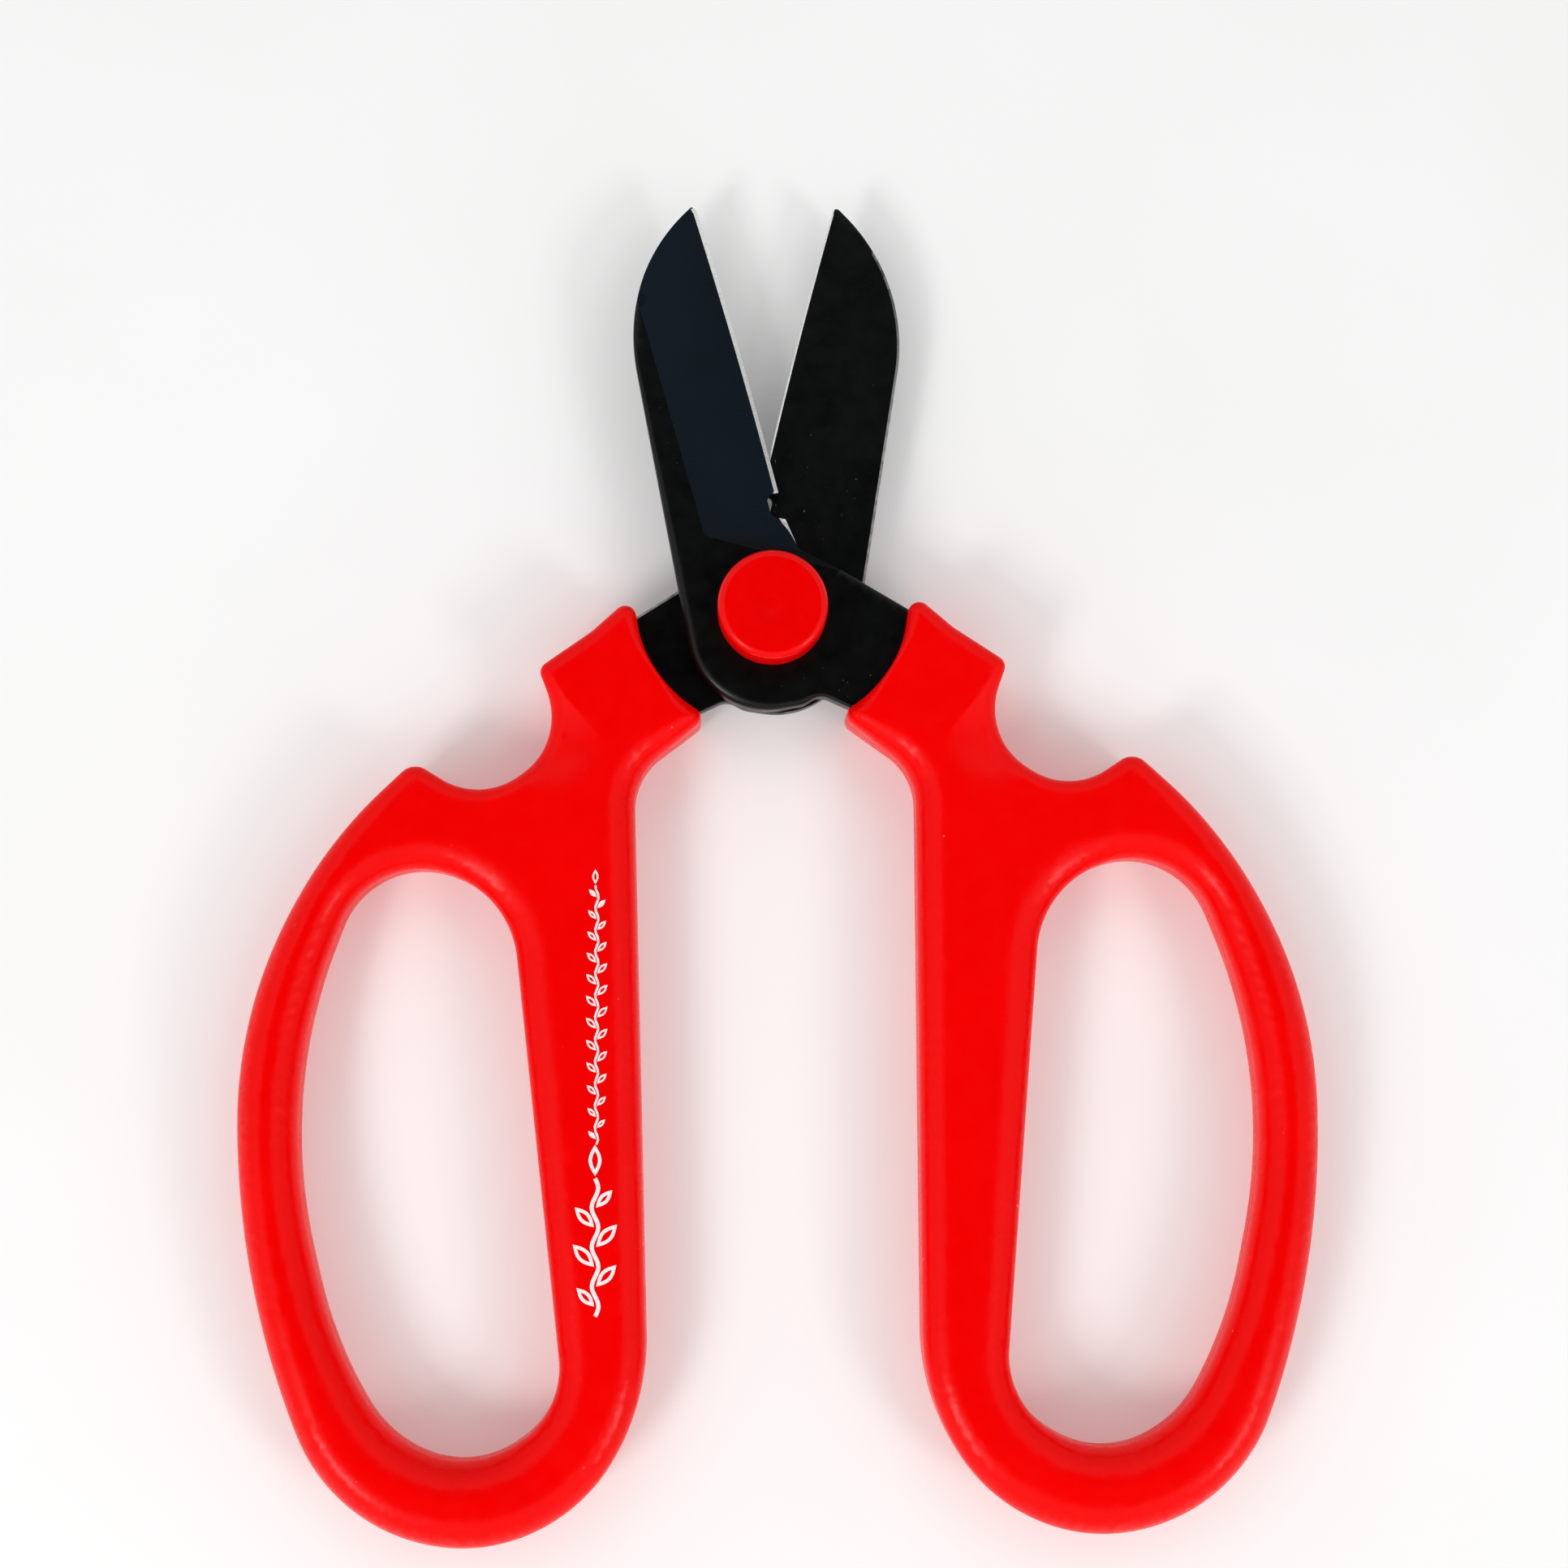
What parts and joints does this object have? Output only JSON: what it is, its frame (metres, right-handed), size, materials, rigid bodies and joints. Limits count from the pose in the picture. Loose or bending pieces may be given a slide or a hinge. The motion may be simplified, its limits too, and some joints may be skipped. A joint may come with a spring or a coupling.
{
  "type": "floral snips",
  "caption": "Bypass flower snips: two forged blades on a keyed pivot bolt, each with a moulded loop handle and an outside finger rest.",
  "frame": {"origin": "on the pivot axis, on the back face of the pivot bolt's head, in the plane that the handles lie on", "axes": "+Y towards the blade tips, +X to the right seen from the cap side, +Z along the pivot axis towards the cap"},
  "size_m": [0.1244, 0.1562, 0.013],
  "materials": {
    "blade_steel": "satin black non-stick coating, bare steel along the cutting edge",
    "handle_plastic": "bright red satin moulded nylon, fine texture, small white print",
    "cap_plastic": "smooth red, a little glossier than the handles",
    "black_bolt": "satin black oxide",
    "plated_steel": "zinc plated",
    "washer_plastic": "natural nylon"
  },
  "bodies": {
    "rear_half": {"rear_blade": "blade_steel", "left_handle": "handle_plastic", "pivot_bolt": "black_bolt", "blade_washer": "washer_plastic", "flat_washer": "plated_steel", "spring_washer": "plated_steel", "pivot_nut": "plated_steel", "pivot_cap": "cap_plastic"},
    "front_half": {"front_blade": "blade_steel", "right_handle": "handle_plastic"}
  },
  "joints": [
    {"name": "blade_pivot", "type": "hinge", "parent": "rear_half", "child": "front_half", "pos_m": [0, 0, 0.005], "axis": [0, 0, 1], "range_deg": [-20.5, 36]}
  ]
}
